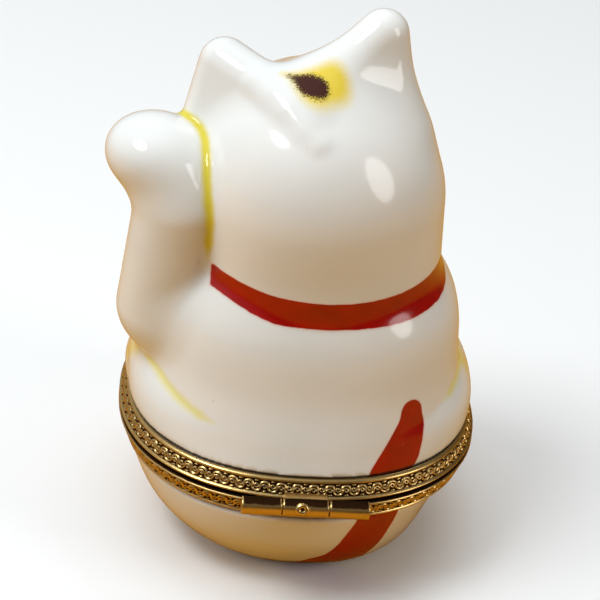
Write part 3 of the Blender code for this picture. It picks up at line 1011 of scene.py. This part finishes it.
def clasp_shell():
    """A sprung tongue shaped as a fluted shell."""
    top_z, foot_z = TONGUE_HIGH[2], TONGUE_LOW[2]
    u = np.linspace(-1.0, 1.0, SHELL_COLUMNS)[:, None]
    w = np.linspace(0.0, 1.0, SHELL_ROWS)
    half_width = np.interp(w, *np.transpose(SHELL_WIDTHS))
    z = top_z + (foot_z - top_z) * w
    path_z = np.array([top_z, LID_EDGE_Z + 0.4, BASE_EDGE_Z - 0.2, foot_z + 1.1, foot_z])
    clear = LID_BAND_LOW[1] - 0.1
    path_y = np.array([TONGUE_HIGH[1] - 0.05, clear, clear - 0.05, clear - 0.05, clear - 0.5])
    back_y = np.interp(-z, -path_z, path_y)
    flutes = FLUTE_DEPTH * np.cos(u * 3.5 * math.pi) * np.clip((w - 0.4) * 3, 0, 1)
    round_foot = np.clip((w - 0.8) * 5, 0, 1)

    outer = np.empty((SHELL_COLUMNS, SHELL_ROWS, 3))
    outer[..., 0] = u * half_width
    outer[..., 1] = back_y - SHELL_THICKNESS - SHELL_CROWN * (1 - u**2) - flutes * (1 - u**4)
    outer[..., 2] = z + 0.5 * u**2 * round_foot
    inner = outer.copy()
    inner[..., 1] = back_y
    points = np.concatenate([outer.reshape(-1, 3), inner.reshape(-1, 3)])

    behind = SHELL_COLUMNS * SHELL_ROWS
    number = np.arange(behind).reshape(SHELL_COLUMNS, SHELL_ROWS)
    front = np.stack([number[:-1, :-1], number[:-1, 1:], number[1:, 1:], number[1:, :-1]], -1)
    front = front.reshape(-1, 4)
    rim = np.concatenate([number[:, 0], number[-1, 1:], number[-2::-1, -1], number[0, -2:0:-1]])
    ahead = np.roll(rim, -1)
    edge = np.stack([rim, ahead, ahead + behind, rim + behind], -1)
    faces = np.concatenate([front[:, ::-1], front + behind, edge])
    piece = new_piece("lid_clasp_shell", points, faces, BRASS, "lid")
    relief = np.concatenate([(0.5 + 4 * flutes).ravel(), np.full(behind, 0.4)])
    add_field(piece, "relief", np.clip(relief, 0, 1))
    piece.data.set_sharp_from_angle(angle=math.radians(50))
    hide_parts("lid_clasp")


def clasp_bead():
    """The small bead that the shell springs over."""
    radius = (CATCH_HIGH[2] - CATCH_LOW[2]) / 2
    centre_y, centre_z = (CATCH_LOW[1:] + CATCH_HIGH[1:]) / 2
    dome = [(0.0, 0.01), (0.05, radius * 0.6), (0.14, radius * 0.9), (0.28, radius)]
    profile = two_ended(CATCH_LOW[0], CATCH_HIGH[0], dome)
    bead = bmesh.new()
    lathe(bead, profile, Matrix.Translation((0.0, centre_y, centre_z)), sides=24)
    piece = brass_piece("base_clasp_bead", bead, "base", 0.8)
    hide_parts("base_clasp_catch")


# Fine painted lines, as thin raised enamel

LINE_SIDES = 8
LINE_STEP = 0.25


def line_on(volume, path):
    """A path's points evenly spaced, softened and laid on the skin."""
    path = np.array(path, float)
    lengths = np.concatenate([[0], np.cumsum(np.linalg.norm(np.diff(path, axis=0), axis=1))])
    wanted = np.linspace(0, lengths[-1], max(6, int(lengths[-1] / LINE_STEP)))
    line = np.stack([np.interp(wanted, lengths, path[:, axis]) for axis in range(3)], 1)
    for _ in range(3):
        line[1:-1] = (line[:-2] + 2 * line[1:-1] + line[2:]) / 4
    return onto(volume, line, 4)


def unit_rows(vectors):
    return vectors / np.linalg.norm(vectors, axis=1)[:, None]


def painted_lines(name, volume, strokes, rides_on):
    """Flat tubes half sunk in the glaze. A stroke is a row of points and its radius."""
    points, faces = [], []
    angles = [2 * math.pi * corner / LINE_SIDES for corner in range(LINE_SIDES)]
    for path, radius in strokes:
        line = line_on(volume, path)
        up = unit_rows(slopes(volume, line))
        side = unit_rows(np.cross(unit_rows(np.gradient(line, axis=0)), up))
        swell = np.sin(np.linspace(0.06, math.pi - 0.06, len(line)))
        taper = np.sqrt(np.clip(swell, 0, 1)) * radius
        start = len(points)
        for step, spot in enumerate(line):
            for angle in angles:
                reach = math.cos(angle) * side[step] + 0.5 * math.sin(angle) * up[step]
                points.append(spot + taper[step] * reach)
        first = list(range(start, start + LINE_SIDES))
        for ring in range(start, len(points) - LINE_SIDES, LINE_SIDES):
            for corner in range(LINE_SIDES):
                a = ring + corner
                b = ring + (corner + 1) % LINE_SIDES
                faces.append([a, a + LINE_SIDES, b + LINE_SIDES, b])
        faces.append(first)
        faces.append(list(range(len(points) - 1, len(points) - 1 - LINE_SIDES, -1)))
    return new_piece(name, points, faces, LINES, rides_on)


def arc(centre_x, centre_z, radius_x, radius_z, start, end, y):
    """Points along an oval's arc before the face, in the head's own axes."""
    angles = np.radians(np.linspace(start, end, 16))
    return [
        from_head((centre_x + radius_x * math.cos(a), y, centre_z + radius_z * math.sin(a)))
        for a in angles
    ]


def face_lines():
    strokes = []
    for side in (1, -1):
        strokes.append((arc(side * EYE_X, EYE_Z, 2.65, 1.9, 0, 180, -12.0), 0.24))
        strokes.append((arc(side * EYE_X, EYE_Z, 2.65, 1.9, 180, 360, -12.0), 0.13))
        strokes.append((arc(side * 5.4, 4.9, 2.4, 0.9, 30, 150, -12.0), 0.16))
        strokes.append((arc(side * 1.3, -4.2, 1.3, 1.1, 180, 360, -16.0), 0.14))
        for row in range(3):
            start = from_head((side * 4.4, -13.5, -3.0 - 0.8 * row))
            middle = from_head((side * 7.4, -12.5, -2.7 - 1.25 * row))
            end = from_head((side * 10.4, -10.0, -2.0 - 1.75 * row))
            strokes.append(((start, middle, end), 0.11))
    under_nose = (from_head((0, -16, -2.8)), from_head((0, -16, -4.2)))
    strokes.append((under_nose, 0.13))
    painted_lines("lid_face_lines", upper_cat, strokes, "lid")


def toe_lines():
    """Three short strokes on each paw."""
    paws = []
    for x in (-1.9, 0.0, 1.9):
        raised = ((19.6 + x, -4.0, 52.0), (19.6 + x * 1.05, -5.4, 49.5))
        resting = ((-8.0 + x * 0.7, -20.0, 25.6), (-8.0 + x * 0.75, -20.2, 23.0))
        paws.append((raised, 0.16))
        paws.append((resting, 0.14))
    painted_lines("lid_toe_lines", upper_cat, paws, "lid")
    feet = []
    for side in (1, -1):
        for x in (-1.6, 0.0, 1.6):
            foot_x = side * 8.6 + x
            stroke_on_foot = ((foot_x, -20.8, 5.6), (foot_x * 1.02, -21.6, 2.8))
            feet.append((stroke_on_foot, 0.15))
    painted_lines("base_toe_lines", lower_cat, feet, "base")


# Materials

class Shader:
    """Shorthand for building one material's nodes."""

    def __init__(self, name):
        self.material = bpy.data.materials.new(name)
        self.material.use_nodes = True
        self.tree = self.material.node_tree
        self.surface = self.tree.nodes["Principled BSDF"]
        self.place = self.node("TexCoord", {}).outputs["Object"]

    def set(self, **sockets):
        for name, value in sockets.items():
            self.surface.inputs[name.replace("_", " ")].default_value = value

    def link(self, output, name):
        self.tree.links.new(output, self.surface.inputs[name])

    def node(self, kind, sockets):
        """A new node, its sockets set to values or linked to other nodes' outputs."""
        node = self.tree.nodes.new("ShaderNode" + kind)
        for key, value in sockets.items():
            if hasattr(value, "is_linked"):
                self.tree.links.new(value, node.inputs[key])
            else:
                node.inputs[key].default_value = value
        return node

    def noise(self, scale, detail=3.0, roughness=0.5, stretch=None):
        place = self.place
        if stretch is not None:
            place = self.node("Mapping", {"Vector": place, "Scale": stretch}).outputs["Vector"]
        sockets = {"Vector": place, "Scale": scale, "Detail": detail, "Roughness": roughness}
        return self.node("TexNoise", sockets).outputs["Fac"]

    def math(self, operation, a, b):
        node = self.node("Math", {0: a, 1: b})
        node.operation = operation
        return node.outputs[0]

    def spread(self, value, from_low, from_high, to_low=0.0, to_high=1.0, smooth=False):
        sockets = {"From Min": from_low, "From Max": from_high, "To Min": to_low, "To Max": to_high}
        node = self.node("MapRange", {"Value": value, **sockets})
        if smooth:
            node.interpolation_type = "SMOOTHSTEP"
        return node.outputs["Result"]

    def mix(self, factor, first, second):
        node = self.node("Mix", {"Factor": factor})
        node.data_type = "RGBA"
        sockets = [s for s in node.inputs if s.type == "RGBA"]
        for socket, colour in zip(sockets, (first, second)):
            if isinstance(colour, tuple):
                socket.default_value = (*colour, 1.0)
            else:
                self.tree.links.new(colour, socket)
        return [s for s in node.outputs if s.type == "RGBA"][0]

    def field(self, name):
        node = self.node("Attribute", {})
        node.attribute_name = name
        return node.outputs["Fac"]

    def painted(self, name, edge, soft, wander=None, amount=0.0):
        """1 where a paint's field is below edge, with a soft border that may wander."""
        value = self.field(name)
        if wander is not None:
            shift = self.math("MULTIPLY", self.math("SUBTRACT", wander, 0.5), amount)
            value = self.math("ADD", value, shift)
        return self.spread(value, edge - soft, edge + soft, 1.0, 0.0, smooth=True)

    def bump(self, height, distance, strength, normal=None):
        sockets = {"Strength": strength, "Distance": distance, "Height": height}
        if normal is not None:
            sockets["Normal"] = normal
        return self.node("Bump", sockets).outputs["Normal"]


def paint_layers(s, cloud, brush, grain):
    """Paint's field, edge, softness, border noise and how far it moves it, strength and colour."""
    brown = s.mix(cloud, (0.035, 0.008, 0.004), (0.07, 0.015, 0.006))
    amber = s.mix(brush, (0.70, 0.48, 0.05), (0.50, 0.55, 0.10))
    return (
        ("haunch_line", 0.45, 0.55, brush, 0.4, 0.85, (0.82, 0.75, 0.20)),
        ("haunch_tint", 0.2, 1.6, brush, 0.8, 0.75, (0.86, 0.74, 0.14)),
        ("arm_line", 0.85, 0.60, brush, 0.5, 0.95, (0.74, 0.62, 0.02)),
        ("crown_halo", -0.4, 1.0, grain, 1.1, 0.92, (0.80, 0.60, 0.0)),
        ("crown_patch", 0.05, 0.30, grain, 2.0, 1.0, brown),
        ("ear_pink", 0.0, 1.0, brush, 0.6, 0.7, (0.80, 0.30, 0.28)),
        ("eye_iris", 0.0, 0.08, None, 0.0, 1.0, amber),
        ("eye_pupil", 0.0, 0.06, None, 0.0, 1.0, (0.008, 0.007, 0.007)),
        ("nose", 0.0, 0.12, None, 0.0, 1.0, (0.55, 0.13, 0.12)),
    )


def red_mask(s, stroke, edge, soft):
    """The collar and the tail."""
    masks = [s.painted(name, edge, soft, stroke, 0.16) for name in ("collar", "tail")]
    return s.math("MAXIMUM", *masks)


def glaze_material():
    s = Shader("painted_white_glaze")
    cloud = s.noise(70.0, 2.0)
    brush = s.noise(420.0, 4.0, 0.6)
    grain = s.noise(5200.0, 3.0, 0.7)
    stroke = s.noise(900.0, 2.0)
    colour = s.mix(s.spread(cloud, 0.35, 0.65), (0.80, 0.815, 0.80), (0.85, 0.85, 0.825))
    for name, edge, soft, wander, amount, strength, paint in paint_layers(s, cloud, brush, grain):
        mask = s.painted(name, edge, soft, wander, amount)
        colour = s.mix(s.math("MULTIPLY", mask, strength), colour, paint)

    red_area = red_mask(s, stroke, 0.0, 0.07)
    thin_red = red_mask(s, stroke, 0.16, 0.16)
    red = s.mix(s.spread(brush, 0.35, 0.7), (0.42, 0.001, 0.0), (0.32, 0.001, 0.0))
    colour = s.mix(s.math("MULTIPLY", thin_red, 0.35), colour, (0.85, 0.38, 0.30))
    colour = s.mix(red_area, colour, red)

    gold = s.painted("bell", 0.12, 0.05)
    colour = s.mix(gold, colour, (0.72, 0.47, 0.12))
    edge = s.painted("mount_edge", 0.0, 0.12, brush, 0.2)
    colour = s.mix(s.math("MULTIPLY", edge, 0.85), colour, (0.07, 0.04, 0.02))
    speck = s.spread(s.noise(1500.0, 1.0), 0.80, 0.82)
    colour = s.mix(s.math("MULTIPLY", speck, 0.2), colour, (0.42, 0.36, 0.28))
    s.link(colour, "Base Color")

    s.link(s.spread(gold, 0.0, 1.0, 0.0, 0.9), "Metallic")
    rough = s.spread(cloud, 0.3, 0.7, 0.10, 0.14)
    s.link(s.math("ADD", rough, s.math("MULTIPLY", red_area, 0.04)), "Roughness")
    s.set(IOR=1.5, Coat_Weight=0.2, Coat_Roughness=0.07)
    ripple = s.bump(s.noise(160.0, 1.0), 0.00006, 0.6)
    s.link(s.bump(red_area, 0.00002, 0.5, ripple), "Normal")
    return s.material


BRASS_BRIGHT = (0.84, 0.58, 0.23)
BRASS_DULL = tuple(0.72 * channel for channel in BRASS_BRIGHT)
# Dark for patina in the hollows, and for painted shade on the hinge tubes' tops and at the bands'
# seam
BRASS_PATINA_AND_SHADE = (0.040, 0.016, 0.006)
BRASS_ROUGH, BRASS_POLISHED = 0.55, 0.26


def brass_material():
    """Brass that is bright where its relief stands out and dark in the hollows. Its relief field
    also carries painted shade on the hinge tubes' tops and at the bands' seam.
    """
    s = Shader("antique_brass_relief")
    mottle = s.noise(900.0, 4.0, 0.6)
    scratch = s.noise(2400.0, 2.0, 0.5, (0.15, 0.15, 1.0))
    uneven = s.math("MULTIPLY", s.math("SUBTRACT", mottle, 0.5), 0.5)
    shown = s.spread(s.math("ADD", s.field("relief"), uneven), 0.12, 0.62, smooth=True)
    metal = s.mix(s.spread(mottle, 0.3, 0.7), BRASS_BRIGHT, BRASS_DULL)
    s.link(s.mix(shown, BRASS_PATINA_AND_SHADE, metal), "Base Color")
    s.set(Metallic=1.0)
    rough = s.spread(shown, 0.0, 1.0, BRASS_ROUGH, BRASS_POLISHED)
    s.link(s.math("ADD", rough, s.math("MULTIPLY", scratch, 0.08)), "Roughness")
    s.link(s.bump(scratch, 0.00002, 0.35), "Normal")
    return s.material


def line_material():
    s = Shader("painted_fine_lines")
    mottle = s.noise(1200.0, 3.0)
    s.link(s.mix(mottle, (0.03, 0.012, 0.008), (0.08, 0.03, 0.02)), "Base Color")
    s.link(s.spread(mottle, 0.3, 0.7, 0.12, 0.25), "Roughness")
    s.link(s.bump(mottle, 0.00001, 0.3), "Normal")
    return s.material


GLAZE = glaze_material()
BRASS = brass_material()
LINES = line_material()


# Camera, floor and light

TARGET = Vector((0.9, 0.0, 30.5)) * MM
CAMERA_AZIMUTH = 174.0
CAMERA_ELEVATION = 30.5
CAMERA_ROLL = 6.3
CAMERA_DISTANCE = 0.300
LENS_MM = 144
FLOOR_RADIUS = 1.6
WORLD_STRENGTH = 0.40
TOWARDS_WINDOW = (0.62, -0.30, 0.72)
ROOM_COLOUR = (0.20, 0.145, 0.08, 1.0)
WINDOW_COLOUR = (0.95, 0.98, 1.0, 1.0)
LIGHTS_CENTRE = Vector((0.0, 0.0, 35.0)) * MM


def direction(azimuth, elevation):
    """Azimuth 0 is the cat's front, -Y, and 90 is +X."""
    a, e = math.radians(azimuth), math.radians(elevation)
    return Vector((math.sin(a) * math.cos(e), -math.cos(a) * math.cos(e), math.sin(e)))


def camera():
    back = direction(CAMERA_AZIMUTH, CAMERA_ELEVATION)
    right = (-back).cross(Vector((0, 0, 1))).normalized()
    up = right.cross(-back)
    roll = math.radians(CAMERA_ROLL)
    tilted_right = math.cos(roll) * right + math.sin(roll) * up
    tilted_up = math.cos(roll) * up - math.sin(roll) * right
    lens = bpy.data.cameras.new("camera")
    lens.lens = LENS_MM
    lens.sensor_width = 36
    lens.clip_start = 0.01
    holder = bpy.data.objects.new("camera", lens)
    axes = Matrix((tilted_right, tilted_up, back)).transposed().to_4x4()
    holder.matrix_world = Matrix.Translation(TARGET + back * CAMERA_DISTANCE) @ axes
    bpy.context.scene.collection.objects.link(holder)
    bpy.context.scene.camera = holder


def floor():
    """A white stage to the camera, and a warm one to the glaze and brass that mirror it."""
    s = Shader("studio_floor")
    seen = s.mix(s.noise(3.0, 2.0), (0.88, 0.88, 0.875), (0.90, 0.90, 0.895))
    path = s.node("LightPath", {}).outputs["Is Camera Ray"]
    s.link(s.mix(path, (0.54, 0.26, 0.01), seen), "Base Color")
    s.set(Roughness=0.9)
    bm = bmesh.new()
    bmesh.ops.create_circle(bm, cap_ends=True, radius=FLOOR_RADIUS, segments=96)
    mesh = bpy.data.meshes.new("floor")
    bm.to_mesh(mesh)
    bm.free()
    mesh.materials.append(s.material)
    plane = bpy.data.objects.new("floor", mesh)
    bpy.context.scene.collection.objects.link(plane)


def world():
    """A dim warm room that brightens towards a cool window, to the front and above."""
    surroundings = bpy.data.worlds.new("studio")
    surroundings.use_nodes = True
    nodes, links = surroundings.node_tree.nodes, surroundings.node_tree.links
    background = nodes["Background"]
    background.inputs["Strength"].default_value = WORLD_STRENGTH
    towards_window = nodes.new("ShaderNodeVectorMath")
    towards_window.operation = "DOT_PRODUCT"
    place = nodes.new("ShaderNodeTexCoord").outputs["Generated"]
    links.new(place, towards_window.inputs[0])
    towards_window.inputs[1].default_value = TOWARDS_WINDOW
    ramp = nodes.new("ShaderNodeValToRGB")
    links.new(towards_window.outputs["Value"], ramp.inputs["Fac"])
    stops = ramp.color_ramp.elements
    for stop, position, colour in zip(stops, (0.0, 0.75), (ROOM_COLOUR, WINDOW_COLOUR)):
        stop.position = position
        stop.color = colour
    links.new(ramp.outputs["Color"], background.inputs["Color"])
    bpy.context.scene.world = surroundings


def soft_light(name, azimuth, elevation, distance, width, height, power, colour, mirrored=True):
    """An oval soft box that faces the object. Without mirrored it leaves no highlight."""
    light = bpy.data.lights.new(name, "AREA")
    light.shape = "ELLIPSE"
    light.size, light.size_y = width, height
    light.energy = power
    light.color = colour
    towards = direction(azimuth, elevation)
    holder = bpy.data.objects.new(name, light)
    facing = towards.to_track_quat("Z", "Y").to_matrix().to_4x4()
    holder.matrix_world = Matrix.Translation(LIGHTS_CENTRE + towards * distance) @ facing
    holder.visible_glossy = mirrored
    bpy.context.scene.collection.objects.link(holder)


def lights():
    cool = (0.93, 0.97, 1.0)
    plain = (1.0, 0.995, 0.98)
    soft_light("top", 20, 82, 0.60, 0.60, 0.60, 1.9, cool, mirrored=False)
    soft_light("left_fill", 96, 20, 0.60, 0.40, 0.40, 0.8, cool, mirrored=False)
    soft_light("left", 112, 58, 0.50, 0.24, 0.18, 1.15, cool)
    soft_light("right", -116, 25, 0.50, 0.20, 0.30, 0.60, plain)


def build():
    porcelain("lid_glaze", "lid_porcelain", lid_porcelain, upper_cat, "lid", PAINTS)
    porcelain("base_glaze", "base_porcelain", base_porcelain, lower_cat, "base", BASE_PAINTS)
    band("lid_band_stamped", "lid_band", upper_cat, LID_EDGE_Z, LID_BAND_TOP_Z, "lid")
    band("base_band_stamped", "base_band", lower_cat, BASE_EDGE_Z, BASE_BAND_BOTTOM_Z, "base")
    flat_ring("lid_rim_flat", "lid_rim", LID_RIM_LOW[2], LID_RIM_HIGH[2], "lid")
    flat_ring("base_rim_flat", "base_rim", BASE_RIM_LOW[2], BASE_RIM_HIGH[2], "base")
    hinge()
    clasp_shell()
    clasp_bead()
    face_lines()
    toe_lines()


camera()
floor()
world()
lights()
build()
bpy.context.scene.view_settings.view_transform = "Standard"
